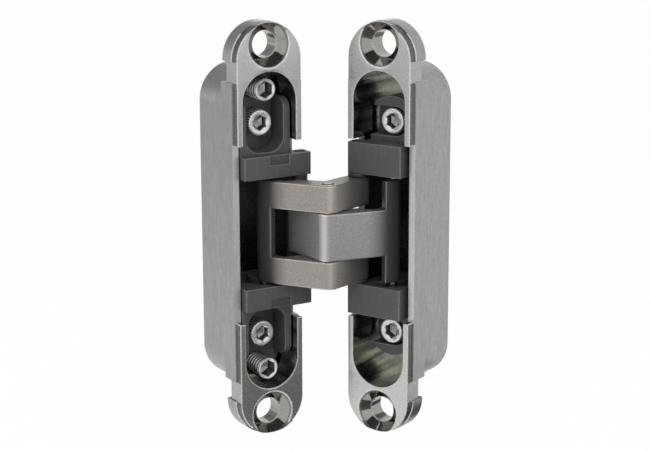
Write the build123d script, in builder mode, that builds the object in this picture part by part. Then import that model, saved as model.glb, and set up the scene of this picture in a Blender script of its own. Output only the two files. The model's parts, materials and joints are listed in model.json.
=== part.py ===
"""Concealed door hinge: two die-cast leaves joined by a fork arm and a single arm that cross on a pin.

Millimetres, +Z up along the pins. The origin is midway between the frame leaf's fixing holes, on the plane of
its lugs' backs, and that leaf's face looks along -Y. Each leaf has its own frame: x across the leaf, y into
the leaf from its face, z up. The hinge is shown part open, as it rests.
"""

import os
from math import cos, radians, sin

from build123d import *

# The fold. Each arm is an elbow: its short leg turns on one leaf's pivot and its long leg slides in the other
rest_opening = 114.0
full_opening = 180.0
short_leg = 12.2
long_leg = 18.0
closed_short_angle = 199.3
closed_long_angle = 86.7
short_leg_share = 2 / 3
frame_pivot_outset = 0.65
frame_pivot_depth = 2.2
door_pivot_inset = 1.75
door_pivot_depth = 2.0

# Clearances
pin_gap = 0.03
slide_gap = 0.15
slide_end_gap = 0.3
wall_gap = 0.3
seat_gap = 0.05
blade_gap = 0.15
swing_gap = 0.35
block_back_gap = 0.6
block_end_gap = 0.7
height_travel = 1.0
side_travel = 0.8

# Arms and what turns in them
arm_top = 13.6
single_half = 6.2
root_radius = 1.9
bend_along = 13.5
bend_half = 3.0
bend_radius = 10.0
notch_end = 14.8
leg_half = 3.2
inner_half = 2.9
knuckle_radius = 2.9
elbow_radius = 2.8
pin_radius = 1.6
bush_wall = 0.5
slide_pin_radius = 1.25
slide_bush_radius = 1.9
washer_radius = 2.6
washer_height = 0.9
pin_end_wall = 0.4

# Screws
clamp_setback = 4.4
clamp_thread = 4.0
clamp_length = 5.5
clamp_head = 7.0
clamp_head_height = 4.0
clamp_key = 3.5
clamp_socket = 2.4
screw_spacing = 8.9
depth_thread = 6.0
depth_top = 2.0
depth_key = 4.0
depth_socket = 4.0

# Carriers
slot_depth = 3.1
slot_wall = 0.4
ear_back_wall = 0.5
frame_ear_wall = 0.6
frame_block_gap = 0.65
frame_block_height = 5.95
frame_floor = 3.0
tray_front = 2.6
tray_wall = 2.0
tray_step = 0.5
tray_corner = 4.0
tray_setback = 2.5
tray_end_radius = 3.0
shelf_wall = 0.5
tab_width = 5.6
tab_height = 2.5
tab_depth = 0.4
door_ear_wall = 0.3
door_block_height = 8.25
door_floor = 1.4
door_tongue_front = 6.5
door_tongue_wall = 2.8

# Housings
leaf_width = 18.5
side_wall = 1.55
end_wall = 0.7
back_wall = 1.2
back_edge = 0.8
lip_depth = 2.4
lip_step = 0.4
ledge = 0.35
plate_depth = 5.5
rim_depth = 8.0
rim_setback = 2.5
lug_depth = 7.0
lug_notch = 2.1
pocket_depth = 12.0
fixing_hole = 6.8
fixing_sink = 11.8
sink_wall = 0.9
fixing_edge = 5.5


def polar(radius, angle):
    """The point at this distance and angle from the origin."""
    return (radius * cos(radians(angle)), radius * sin(radians(angle)))


def slide_point(opening, across, depth, side_step=0.0, end_step=0.0):
    """Centre of an arm's sliding root in its leaf at this opening, stepped aside from or along its path."""
    short = radians(closed_short_angle + short_leg_share * opening)
    long = radians(closed_long_angle + long_leg_share * opening)
    x = across + short_leg * cos(short) + long_leg * cos(long)
    y = depth + short_leg * sin(short) + long_leg * sin(long)
    along_x = -short_leg_share * short_leg * sin(short) - long_leg_share * long_leg * sin(long)
    along_y = short_leg_share * short_leg * cos(short) + long_leg_share * long_leg * cos(long)
    length = (along_x**2 + along_y**2) ** 0.5
    x += (end_step * along_x - side_step * along_y) / length
    y += (end_step * along_y + side_step * along_x) / length
    return (x, y)


# Places worked out from the sizes above: the fold
long_leg_share = 1 - short_leg_share
frame_pivot_across = leaf_width / 2 + frame_pivot_outset
door_pivot_across = leaf_width / 2 - door_pivot_inset
elbow_angle = closed_long_angle + (closed_short_angle - 180)
passing_angle_closed = closed_long_angle - (closed_short_angle - 180)
passing_angle_open = passing_angle_closed - long_leg_share * full_opening
rest_short_angle = closed_short_angle + short_leg_share * rest_opening
fork_angle = closed_long_angle + long_leg_share * rest_opening
single_angle = short_leg_share * rest_opening - closed_long_angle
door_turn = rest_opening - 180
frame_place = Location((0, -lug_depth, 0))
frame_pivot = (frame_pivot_across, frame_pivot_depth - lug_depth)
centre_x = frame_pivot[0] + polar(short_leg, rest_short_angle)[0]
centre_y = frame_pivot[1] + polar(short_leg, rest_short_angle)[1]
fork_plane = Plane((centre_x, centre_y, 0), x_dir=(*polar(1, fork_angle), 0), z_dir=(0, 0, 1))
single_plane = Plane((centre_x, centre_y, 0), x_dir=(*polar(1, single_angle), 0), z_dir=(0, 0, 1))
far_x, far_y = polar(short_leg, fork_angle - elbow_angle)
door_x_dir = polar(1, door_turn)
door_y_dir = polar(1, door_turn + 90)
door_x = centre_x + far_x + door_pivot_across * door_x_dir[0] - door_pivot_depth * door_y_dir[0]
door_y = centre_y + far_y + door_pivot_across * door_x_dir[1] - door_pivot_depth * door_y_dir[1]
door_place = Location((door_x, door_y, 0), (0, 0, door_turn))

# Across a leaf
leaf_half_width = leaf_width / 2 + ledge
pocket_half_width = leaf_width / 2 - side_wall
frame_block_half = pocket_half_width - wall_gap
door_block_half = pocket_half_width - side_travel - wall_gap
frame_ear_end = frame_pivot_across + pin_radius + frame_ear_wall
door_ear_end = door_pivot_across + pin_radius + door_ear_wall

# Into a leaf
path_openings = [full_opening * step / 12 for step in range(13)]
root_reach = max(slide_point(opening, 0, 0)[1] for opening in path_openings)
root_depth = max(frame_pivot_depth, door_pivot_depth) + root_reach
block_depth = root_depth + slide_bush_radius + slide_gap + slot_wall
cavity_depth = block_depth + block_back_gap
body_depth = cavity_depth + back_wall
inner_wall_depth = frame_pivot_depth + knuckle_radius + swing_gap
tongue_back = pocket_depth - seat_gap
frame_seat = pocket_depth - frame_floor
door_seat = pocket_depth - door_floor

# Along a leaf, from its middle
fork_blade_start = single_half + blade_gap
frame_block_start = arm_top + frame_block_gap
frame_block_end = frame_block_start + frame_block_height
door_block_start = arm_top + blade_gap + washer_height
door_block_end = door_block_start + door_block_height
cavity_half = max(frame_block_end + height_travel, door_block_end) + block_end_gap
clamp_offset = cavity_half + clamp_setback
depth_offset = clamp_offset + screw_spacing
head_half = clamp_head / 2 + wall_gap
tray_end = depth_offset - tray_setback
shelf_end = depth_offset + depth_thread / 2 + shelf_wall
door_tongue_end = clamp_offset + head_half + door_tongue_wall
pocket_half = shelf_end + height_travel + wall_gap
rim_half = pocket_half - rim_setback
body_half = pocket_half + end_wall
lug_start = body_half + lug_notch
fixing_offset = pocket_half + sink_wall + fixing_sink / 2
leaf_half = fixing_offset + fixing_edge

# Radii of the bushes and of the bores that run on the pins
bush_radius = pin_radius + bush_wall
pin_bore = pin_radius + pin_gap


def depth_plane(depth):
    """A plane parallel to a leaf's face, this far below it; what is extruded from it goes toward the face."""
    return Plane.XZ.offset(-depth)


def housing(inner):
    """A leaf's casting, in the leaf's frame; inner is 1 or -1, the side that meets the other leaf."""
    with BuildPart() as casting:
        # Plate, the wider rim that leaves a lip round its front, and the thick lugs at the ends
        with BuildSketch(depth_plane(plate_depth)):
            SlotOverall(2 * leaf_half, leaf_width, rotation=90)
        extrude(amount=plate_depth)
        with BuildSketch(depth_plane(rim_depth)):
            Rectangle(2 * leaf_half_width, 2 * rim_half)
        extrude(amount=rim_depth - lip_depth)
        with BuildSketch(depth_plane(lug_depth)):
            SlotOverall(2 * (leaf_half + ledge), 2 * leaf_half_width, rotation=90)
            Rectangle(2 * leaf_width, 2 * lug_start, mode=Mode.SUBTRACT)
        extrude(amount=lug_depth - lip_depth)
        # Deep body with round ends
        with BuildSketch(depth_plane(body_depth)):
            SlotOverall(2 * body_half, 2 * leaf_half_width, rotation=90)
        extrude(amount=body_depth - plate_depth)
        fillet(casting.faces().sort_by(Axis.Y)[-1].edges(), radius=back_edge)
        # Screw pockets, the deep cavity between them, and the open front of the cavity
        with BuildSketch(depth_plane(pocket_depth)):
            SlotOverall(2 * pocket_half, 2 * pocket_half_width, rotation=90)
        extrude(amount=pocket_depth, mode=Mode.SUBTRACT)
        with BuildSketch(depth_plane(cavity_depth)):
            Rectangle(2 * pocket_half_width, 2 * cavity_half)
        extrude(amount=cavity_depth, mode=Mode.SUBTRACT)
        with BuildSketch(depth_plane(lip_depth)):
            Rectangle(2 * leaf_width, 2 * (cavity_half - lip_step))
        extrude(amount=lip_depth, mode=Mode.SUBTRACT)
        with BuildSketch(depth_plane(inner_wall_depth)):
            with Locations((inner * leaf_half_width, 0)):
                Rectangle(leaf_half_width, 2 * cavity_half)
        extrude(amount=inner_wall_depth, mode=Mode.SUBTRACT)
        # Countersunk fixing holes and the tapped holes of the clamp screws
        with Locations(depth_plane(0)):
            with Locations((0, fixing_offset), (0, -fixing_offset)):
                CounterSinkHole(fixing_hole / 2, fixing_sink / 2, depth=lug_depth, counter_sink_angle=90)
        with Locations(depth_plane(pocket_depth)):
            with Locations((0, clamp_offset), (0, -clamp_offset)):
                Hole(clamp_thread / 2 + pin_gap, depth=clamp_length - seat_gap)
    return casting.part


def slide_slot(across, depth):
    """Face of the curved slot that an arm's root bush runs in, for a leaf whose inner side is +x."""
    half = slide_bush_radius + slide_gap
    left = [slide_point(opening, across, depth, side_step=half) for opening in path_openings]
    right = [slide_point(opening, across, depth, side_step=-half) for opening in path_openings]
    with BuildSketch() as slot:
        with BuildLine():
            Spline(*left)
            ThreePointArc(left[-1], slide_point(full_opening, across, depth, end_step=half), right[-1])
            Spline(*reversed(right))
            ThreePointArc(right[0], slide_point(0, across, depth, end_step=-half), left[0])
        make_face()
    return slot.sketch


def shank_slot(seat, travel_across, travel_along):
    """Solid removed from a carrier's floor so that its clamp screw can slide across or along the leaf."""
    width = clamp_thread + 2 * wall_gap
    with BuildPart() as cut:
        with BuildSketch(depth_plane(pocket_depth)) as outline:
            with Locations((0, clamp_offset)):
                Rectangle(width + 2 * travel_across, width + 2 * travel_along)
            fillet(outline.vertices(), radius=width / 2 - seat_gap)
        extrude(amount=pocket_depth - seat)
    return cut.part


def frame_carrier():
    """The upper carrier of the frame leaf: block with an ear, and a tray for the clamp and depth screws."""
    with BuildPart() as carrier:
        with BuildSketch(Plane.XY.offset(frame_block_start)):
            with Locations((-frame_block_half, 0)):
                Rectangle(2 * frame_block_half, block_depth, align=(Align.MIN, Align.MIN))
                ear_depth = frame_pivot_depth + pin_radius + ear_back_wall
                Rectangle(frame_block_half + frame_ear_end, ear_depth, align=(Align.MIN, Align.MIN))
        extrude(amount=frame_block_height)
        # Side view of the tray, with the ends of its rims rounded over
        with BuildSketch(Plane.YZ) as tray:
            with Locations((tray_front, frame_block_end)):
                Rectangle(
                    tongue_back - tray_front, tray_end - frame_block_end, align=(Align.MIN, Align.MIN)
                )
            fillet(tray.vertices().sort_by_distance((tray_front, tray_end))[0], radius=tray_end_radius)
        extrude(amount=frame_block_half, both=True)
        # Floor that runs on to a rounded end, and the recess that the rims stand round
        with BuildSketch(depth_plane(tongue_back)):
            with Locations((0, shelf_end - frame_block_half)):
                Circle(frame_block_half)
                Rectangle(
                    2 * frame_block_half,
                    shelf_end - frame_block_half - frame_block_end,
                    align=(Align.CENTER, Align.MAX),
                )
        extrude(amount=tongue_back - frame_seat)
        with BuildSketch(depth_plane(frame_seat)) as recess:
            with Locations((0, frame_block_end + tray_step)):
                Rectangle(
                    2 * (frame_block_half - tray_wall),
                    tray_end - frame_block_end,
                    align=(Align.CENTER, Align.MIN),
                )
            fillet(recess.vertices().group_by(Axis.Y)[0], radius=tray_corner)
        extrude(amount=frame_seat - tray_front, mode=Mode.SUBTRACT)
        add(shank_slot(frame_seat, 0, height_travel), mode=Mode.SUBTRACT)
        with BuildSketch(depth_plane(tongue_back)):
            with Locations((0, depth_offset)):
                Circle(depth_thread / 2)
        extrude(amount=tongue_back - frame_seat, mode=Mode.SUBTRACT)
        # Shallow tab on the block's front
        with BuildSketch(depth_plane(tab_depth)):
            with Locations((0, frame_block_end)):
                Rectangle(tab_width, tab_height, align=(Align.MIN, Align.MAX))
        extrude(amount=tab_depth, mode=Mode.SUBTRACT)
        # Pivot bore and the curved slot for the fork's root
        with BuildSketch(Plane.XY.offset(frame_block_start)):
            with Locations((frame_pivot_across, frame_pivot_depth)):
                Circle(pin_radius)
        extrude(amount=frame_block_height, mode=Mode.SUBTRACT)
        with BuildSketch(Plane.XY.offset(frame_block_start)):
            add(slide_slot(frame_pivot_across, frame_pivot_depth))
        extrude(amount=slot_depth, mode=Mode.SUBTRACT)
    return carrier.part


def door_carrier():
    """The upper carrier of the door leaf, made for an inner side at +x: block with an ear, round tongue."""
    with BuildPart() as carrier:
        with BuildSketch(Plane.XY.offset(door_block_start)):
            with Locations((-door_block_half, 0)):
                Rectangle(2 * door_block_half, block_depth, align=(Align.MIN, Align.MIN))
                ear_depth = door_pivot_depth + pin_radius + ear_back_wall
                Rectangle(door_block_half + door_ear_end, ear_depth, align=(Align.MIN, Align.MIN))
        extrude(amount=door_block_height)
        # Tongue, as wide as the block, with an end as round as the pocket's
        with BuildSketch(depth_plane(tongue_back)):
            end_radius = pocket_half_width - wall_gap
            with Locations((0, door_tongue_end - end_radius)):
                Circle(end_radius)
            with Locations((0, door_block_end)):
                Rectangle(
                    2 * door_block_half,
                    door_tongue_end - end_radius - door_block_end,
                    align=(Align.CENTER, Align.MIN),
                )
                Rectangle(
                    2 * door_block_half,
                    door_tongue_end - door_block_end,
                    align=(Align.CENTER, Align.MIN),
                    mode=Mode.INTERSECT,
                )
        extrude(amount=tongue_back - door_tongue_front)
        # Recess for the clamp screw's head, open on the inner side
        with BuildSketch(depth_plane(door_seat)):
            with Locations((-side_travel, clamp_offset)):
                Circle(head_half)
                Rectangle(side_travel + door_block_half, 2 * head_half, align=(Align.MIN, Align.CENTER))
        extrude(amount=door_seat - door_tongue_front, mode=Mode.SUBTRACT)
        add(shank_slot(door_seat, side_travel, 0), mode=Mode.SUBTRACT)
        # Pivot bore and the curved slot for the single arm's root
        with BuildSketch(Plane.XY.offset(door_block_start)):
            with Locations((door_pivot_across, door_pivot_depth)):
                Circle(pin_radius)
        extrude(amount=door_block_height, mode=Mode.SUBTRACT)
        with BuildSketch(Plane.XY.offset(door_block_start)):
            add(slide_slot(door_pivot_across, door_pivot_depth))
        extrude(amount=slot_depth, mode=Mode.SUBTRACT)
    return carrier.part


def clamp_screws(seat):
    """A leaf's pair of clamp screws, with their heads resting on this seat."""
    head_back = seat - seat_gap
    head_top = head_back - clamp_head_height
    tip = pocket_depth + clamp_length - 2 * seat_gap
    ends = ((0, clamp_offset), (0, -clamp_offset))
    with BuildPart() as screws:
        with BuildSketch(depth_plane(head_back)):
            with Locations(*ends):
                Circle(clamp_head / 2)
        extrude(amount=clamp_head_height)
        with BuildSketch(depth_plane(tip)):
            with Locations(*ends):
                Circle(clamp_thread / 2)
        extrude(amount=tip - head_back)
        with BuildSketch(depth_plane(head_top + clamp_socket)):
            with Locations(*ends):
                RegularPolygon(clamp_key / 2, 6, major_radius=False)
        extrude(amount=clamp_socket, mode=Mode.SUBTRACT)
    return screws.part


def depth_screws():
    """The frame leaf's pair of set screws, whose tips press on the pockets' floors."""
    ends = ((0, depth_offset), (0, -depth_offset))
    with BuildPart() as screws:
        with BuildSketch(depth_plane(tongue_back)):
            with Locations(*ends):
                Circle(depth_thread / 2)
        extrude(amount=tongue_back - depth_top)
        with BuildSketch(depth_plane(depth_top + depth_socket)):
            with Locations(*ends):
                RegularPolygon(depth_key / 2, 6, major_radius=False)
        extrude(amount=depth_socket, mode=Mode.SUBTRACT)
    return screws.part


def passing_arc(outer):
    """Path of the other arm's pivot past an arm's long leg, in the arm's frame."""
    with BuildLine() as path:
        CenterArc(
            (0, 0),
            short_leg,
            -outer * passing_angle_closed,
            outer * (passing_angle_closed - passing_angle_open),
        )
    return path.wire()


def root_pad(bend):
    """Outline of an arm's root, from the bend in its outer side to a round end, in the arm's frame."""
    with BuildSketch() as pad:
        with BuildLine():
            CenterArc((long_leg, 0), root_radius, 0, 360)
            Line(bend, (bend_along, 0))
        make_hull()
    return pad.sketch


def arm_outline(outer):
    """An arm seen along the pins: centre pin at the origin, long leg along +x, outer side at +y or -y."""
    far_knuckle = polar(short_leg, -outer * elbow_angle)
    tail_x, tail_y = polar(knuckle_radius, -outer * (elbow_angle + 90))
    elbow = polar(leg_half / sin(radians(elbow_angle / 2)), 180 - outer * elbow_angle / 2)
    crotch = polar(inner_half / sin(radians(elbow_angle / 2)), -outer * elbow_angle / 2)
    bend = (bend_along, outer * bend_half)
    corners = (
        bend,
        elbow,
        (far_knuckle[0] + tail_x, far_knuckle[1] + tail_y),
        (far_knuckle[0] - tail_x, far_knuckle[1] - tail_y),
        crotch,
        (long_leg, 0),
    )
    with BuildSketch() as outline:
        with BuildLine():
            Polyline(*corners, close=True)
        make_face()
        add(root_pad(bend))
        fillet(outline.vertices().sort_by_distance(elbow)[0], radius=elbow_radius)
        fillet(outline.vertices().sort_by_distance(bend)[0], radius=bend_radius)
        with Locations(far_knuckle):
            Circle(knuckle_radius)
        # Scoop in the long leg, where the other arm's pivot passes
        SlotArc(passing_arc(outer), 2 * (bush_radius + swing_gap), mode=Mode.SUBTRACT)
    return outline.sketch


def arm(plane, outer, blades, centre_bore):
    """An arm with its blades, each from one height to another, on a root pad of the full height."""
    with BuildPart() as piece:
        for bottom, top in blades:
            with BuildSketch(plane.offset(bottom)):
                add(arm_outline(outer))
            extrude(amount=top - bottom)
        # The pad begins where the other arm's knuckle has room to pass
        with BuildSketch(plane.offset(-arm_top)):
            add(arm_outline(outer))
            with Locations((notch_end, 0)):
                Rectangle(long_leg, long_leg, align=(Align.MIN, Align.CENTER), mode=Mode.INTERSECT)
            SlotArc(passing_arc(outer), 2 * (knuckle_radius + swing_gap), mode=Mode.SUBTRACT)
        extrude(amount=2 * arm_top)
        with BuildSketch(plane.offset(-arm_top)):
            Circle(centre_bore)
            with Locations(polar(short_leg, -outer * elbow_angle)):
                Circle(bush_radius)
            with Locations((long_leg, 0)):
                Circle(slide_pin_radius)
        extrude(amount=2 * arm_top, mode=Mode.SUBTRACT)
    return piece.part


def rounds(plane, centre, radius, spans, bore=0.0):
    """Pins, or with a bore sleeves, on one axis: each from one height to another."""
    with BuildPart() as piece:
        for bottom, top in spans:
            with BuildSketch(plane.offset(bottom)):
                with Locations(centre):
                    Circle(radius)
                    if bore:
                        Circle(bore, mode=Mode.SUBTRACT)
            extrude(amount=top - bottom)
    return piece.part


def both_ends(bottom, top):
    """A span above the middle and its mirror image below."""
    return ((bottom, top), (-top, -bottom))


def through(height):
    """A span as far above the middle as below it."""
    return ((-height, height),)


fork_far = polar(short_leg, -elbow_angle)
single_far = polar(short_leg, elbow_angle)
root = (long_leg, 0)
frame_slide_end = frame_block_start + slot_depth - slide_end_gap
door_slide_end = door_block_start + slot_depth - slide_end_gap

# Frame leaf
with BuildPart() as frame_housing:
    with Locations(frame_place):
        add(housing(inner=1))
with BuildPart() as frame_clamp_screws:
    with Locations(frame_place):
        add(clamp_screws(frame_seat))
with BuildPart() as frame_carrier_top:
    with Locations(frame_place):
        add(frame_carrier())
with BuildPart() as frame_carrier_bottom:
    mirror(frame_carrier_top.part, about=Plane.XY)
with BuildPart() as frame_depth_screws:
    with Locations(frame_place):
        add(depth_screws())
with BuildPart() as frame_pivot_pin:
    add(rounds(Plane.XY, frame_pivot, pin_radius, through(frame_block_end - pin_end_wall)))
with BuildPart() as frame_pivot_spacers:
    spacer_span = both_ends(single_half + blade_gap, frame_block_start - blade_gap)
    add(rounds(Plane.XY, frame_pivot, bush_radius, spacer_span, pin_bore))

# Single arm, which turns on the frame leaf's pivot
with BuildPart() as single_arm:
    add(arm(single_plane, -1, through(single_half), bush_radius))
with BuildPart() as single_pivot_bush:
    add(rounds(single_plane, single_far, bush_radius, through(single_half), pin_bore))
with BuildPart() as centre_bush:
    add(rounds(single_plane, (0, 0), bush_radius, through(single_half), pin_bore))
with BuildPart() as single_slide_pin:
    add(rounds(single_plane, root, slide_pin_radius, through(door_slide_end)))
with BuildPart() as single_slide_bushes:
    single_bush_span = both_ends(door_block_start + slide_end_gap, door_slide_end)
    add(rounds(single_plane, root, slide_bush_radius, single_bush_span, slide_pin_radius))

# Fork arm, which carries the centre pin
with BuildPart() as fork_arm:
    add(arm(fork_plane, 1, both_ends(fork_blade_start, arm_top), pin_radius))
with BuildPart() as centre_pin:
    add(rounds(fork_plane, (0, 0), pin_radius, through(arm_top)))
with BuildPart() as fork_pivot_bushes:
    add(rounds(fork_plane, fork_far, bush_radius, both_ends(fork_blade_start, arm_top), pin_bore))
with BuildPart() as fork_slide_pin:
    add(rounds(fork_plane, root, slide_pin_radius, through(frame_slide_end)))
with BuildPart() as fork_slide_bushes:
    fork_bush_span = both_ends(frame_block_start + slide_end_gap, frame_slide_end)
    add(rounds(fork_plane, root, slide_bush_radius, fork_bush_span, slide_pin_radius))

# Door leaf
door_carrier_upper = mirror(door_carrier(), about=Plane.YZ)
with BuildPart() as door_carrier_top:
    with Locations(door_place):
        add(door_carrier_upper)
with BuildPart() as door_carrier_bottom:
    mirror(door_carrier_top.part, about=Plane.XY)
with BuildPart() as door_pivot_pins:
    add(rounds(fork_plane, fork_far, pin_radius, both_ends(fork_blade_start, door_block_end - pin_end_wall)))
with BuildPart() as door_thrust_washers:
    washer_span = both_ends(arm_top + blade_gap, door_block_start)
    add(rounds(fork_plane, fork_far, washer_radius, washer_span, pin_bore))
with BuildPart() as door_housing:
    with Locations(door_place):
        add(housing(inner=-1))
with BuildPart() as door_clamp_screws:
    with Locations(door_place):
        add(clamp_screws(door_seat))

nodes = {
    "frame_housing": frame_housing,
    "frame_clamp_screws": frame_clamp_screws,
    "frame_carrier_top": frame_carrier_top,
    "frame_carrier_bottom": frame_carrier_bottom,
    "frame_depth_screws": frame_depth_screws,
    "frame_pivot_pin": frame_pivot_pin,
    "frame_pivot_spacers": frame_pivot_spacers,
    "single_arm": single_arm,
    "single_pivot_bush": single_pivot_bush,
    "centre_bush": centre_bush,
    "single_slide_pin": single_slide_pin,
    "single_slide_bushes": single_slide_bushes,
    "fork_arm": fork_arm,
    "centre_pin": centre_pin,
    "fork_pivot_bushes": fork_pivot_bushes,
    "fork_slide_pin": fork_slide_pin,
    "fork_slide_bushes": fork_slide_bushes,
    "door_carrier_top": door_carrier_top,
    "door_carrier_bottom": door_carrier_bottom,
    "door_pivot_pins": door_pivot_pins,
    "door_thrust_washers": door_thrust_washers,
    "door_housing": door_housing,
    "door_clamp_screws": door_clamp_screws,
}
os.makedirs("parts", exist_ok=True)
for name, piece in nodes.items():
    piece.part.label = name
    export_step(piece.part, f"parts/{name}.step")
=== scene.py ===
"""Dresses the concealed door hinge: cast leaves, dark carriers, blasted arms and plated screws.

Run as a script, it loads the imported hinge, makes each group of pieces with its own operator and
sets a white stage. Sizes are in metres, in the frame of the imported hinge.
"""

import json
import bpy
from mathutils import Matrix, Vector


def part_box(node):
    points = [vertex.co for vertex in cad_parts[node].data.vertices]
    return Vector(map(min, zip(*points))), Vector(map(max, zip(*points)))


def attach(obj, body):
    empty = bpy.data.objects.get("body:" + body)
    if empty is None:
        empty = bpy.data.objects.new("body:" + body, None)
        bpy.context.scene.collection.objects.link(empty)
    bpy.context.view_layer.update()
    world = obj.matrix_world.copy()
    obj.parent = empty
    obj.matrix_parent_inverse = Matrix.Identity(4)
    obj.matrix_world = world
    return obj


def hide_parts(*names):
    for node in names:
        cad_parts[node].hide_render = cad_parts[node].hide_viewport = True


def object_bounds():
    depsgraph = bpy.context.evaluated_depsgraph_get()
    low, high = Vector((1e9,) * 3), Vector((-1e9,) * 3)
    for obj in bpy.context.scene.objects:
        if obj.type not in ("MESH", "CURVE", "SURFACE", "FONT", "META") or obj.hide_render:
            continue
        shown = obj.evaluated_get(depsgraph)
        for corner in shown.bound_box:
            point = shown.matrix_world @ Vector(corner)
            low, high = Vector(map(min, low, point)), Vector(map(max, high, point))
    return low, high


bl_info = {
    "name": "Concealed hinge finishes",
    "version": (1, 0, 0),
    "blender": (4, 5, 0),
    "location": "3D View > Sidebar > Hinge",
    "description": "Gives a concealed door hinge its cast, blasted and plated finishes",
    "category": "Object",
}

from enum import IntEnum
from math import atan, cos, pi, radians, sin

import bmesh
import bpy
import numpy as np
from bpy.props import FloatProperty, FloatVectorProperty, IntProperty, PointerProperty
from bpy.types import Operator, Panel, PropertyGroup
from mathutils import Matrix

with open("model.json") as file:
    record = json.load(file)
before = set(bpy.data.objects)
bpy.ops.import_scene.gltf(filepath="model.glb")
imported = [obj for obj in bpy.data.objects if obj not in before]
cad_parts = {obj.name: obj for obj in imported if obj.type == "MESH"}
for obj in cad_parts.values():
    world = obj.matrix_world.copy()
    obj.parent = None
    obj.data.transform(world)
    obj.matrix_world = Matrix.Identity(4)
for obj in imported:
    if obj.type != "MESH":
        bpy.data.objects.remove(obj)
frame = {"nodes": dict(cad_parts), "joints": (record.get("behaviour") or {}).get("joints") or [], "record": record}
cad_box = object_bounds()

MM = 0.001

# Distance for merging, largest bend of a flat area and smallest bend of a corner
MERGE = 1e-6
FLAT_ANGLE = radians(0.4)
CORNER_ANGLE = radians(32)

# Cosine from which a face looks along an axis, and below which it stands beside it
FACING = 0.9
BESIDE = 0.5

# Places on a leaf, from its middle or its face, and how closely they are told
HAIR = 0.03 * MM
POCKET_HALF = 41.7 * MM
POCKET_HALF_WIDTH = 7.7 * MM
CAVITY_HALF = 23.6 * MM
RIM_HALF = 39.2 * MM
LUG_START = 44.5 * MM
LIP_DEPTH = 2.4 * MM
MOUTH_DEPTH = 0.55 * MM
RECESS_DEPTH = 1.0 * MM

# Share of a screw's radius that is left flat at its tip
TIP_SHARE = 0.5

# Least roughness of a finish, and the places of a Mix node's two colours and their mixture
GLOSSIEST = 0.02
MIX_COLOURS = slice(6, 8)
MIX_RESULT = 2

# Width of the photograph in pixels, and the camera's range
PHOTO_WIDTH = 650
CAMERA_NEAR = 0.01
CAMERA_FAR = 20

# What properties of one kind have in common
COLOUR = {"subtype": "COLOR", "size": 3, "min": 0, "max": 1}
LENGTH = {"subtype": "DISTANCE", "unit": "LENGTH", "min": 0}


def vectors(things, label):
    """A vector that each of a mesh's vertices or faces has, as an array of rows."""
    values = np.empty(3 * len(things))
    things.foreach_get(label, values)
    return values.reshape(-1, 3)


def node_points(node):
    """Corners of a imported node's mesh, as an array of points."""
    return vectors(frame["nodes"][node].data.vertices, "co")


class Leaf:
    """A leaf's own frame: x across the leaf, y into it from its face, z up."""

    def __init__(self, face, across):
        self.face = np.array(face)
        self.axes = np.array((across, (-across[1], across[0], 0), (0, 0, 1)))

    def local(self, points):
        """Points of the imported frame, in the leaf's frame."""
        return (points - self.face) @ self.axes.T

    def turned(self, directions):
        """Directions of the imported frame, in the leaf's frame."""
        return directions @ self.axes.T

    def placed(self, points):
        """Points of the leaf's frame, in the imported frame."""
        return points @ self.axes + self.face

    def box(self, node):
        """Lowest and highest corner of a node in the leaf's frame."""
        points = self.local(node_points(node))
        return points.min(axis=0), points.max(axis=0)


joints = {joint["name"]: joint for joint in frame["joints"]}
mounts = {mount["name"]: mount for mount in frame["record"]["mounts"]}
fixing = mounts["door_fixing_top"]
lug_depth = -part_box("frame_housing")[0][1]
hole_radius = fixing["dims"]["r_mm"] * MM
hole_wall = fixing["dims"]["length_mm"] * MM
fixing_height = fixing["pos_m"][2]
door_across = joints["door_side"]["axis"]
door_inward = np.array((-door_across[1], door_across[0], 0))
door_hole = np.array((*fixing["pos_m"][:2], 0))
leaves = {
    "frame": Leaf((0, -lug_depth, 0), (1, 0, 0)),
    "door": Leaf(door_hole - (lug_depth - hole_wall / 2) * door_inward, door_across),
}


class HingeFinishes(PropertyGroup):
    """Colours and sheens of the hinge's finishes."""

    casting: FloatVectorProperty(
        name="Casting", description="Colour of the satin zinc castings",
        default=(0.335, 0.338, 0.332), **COLOUR,
    )
    casting_roughness: FloatProperty(
        name="Casting roughness", description="How dull the castings are",
        default=0.34, subtype="FACTOR", min=0, max=1,
    )
    pocket: FloatVectorProperty(
        name="Pocket", description="Colour of the castings' reflection_painted insides",
        default=(0.40, 0.40, 0.36), **COLOUR,
    )
    # The countersinks' warm tint is a painted reflection of a warm surround
    countersink: FloatVectorProperty(
        name="Countersink", description="Colour of the reflection_painted countersinks",
        default=(0.33, 0.315, 0.29), **COLOUR,
    )
    carrier: FloatVectorProperty(
        name="Carrier", description="Colour of the charcoal carriers",
        default=(0.096, 0.094, 0.095), **COLOUR,
    )
    fork_arm: FloatVectorProperty(
        name="Fork arm", description="Colour of the blasted fork arm",
        default=(0.37, 0.345, 0.322), **COLOUR,
    )
    single_arm: FloatVectorProperty(
        name="Single arm", description="Colour of the blasted single arm",
        default=(0.42, 0.40, 0.40), **COLOUR,
    )
    screw: FloatVectorProperty(
        name="Screw", description="Colour of the plated screws",
        default=(0.77, 0.765, 0.755), **COLOUR,
    )
    pin: FloatVectorProperty(
        name="Pin", description="Colour of the ground steel pins",
        default=(0.3, 0.297, 0.29), **COLOUR,
    )
    # Near-black: the plastic's own colour, and on the spacers and washers also painted shade under the carriers'
    # ears
    bush: FloatVectorProperty(
        name="Bush", description="Colour of the dark plastic bushes",
        default=(0.03, 0.03, 0.032), **COLOUR,
    )


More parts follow.
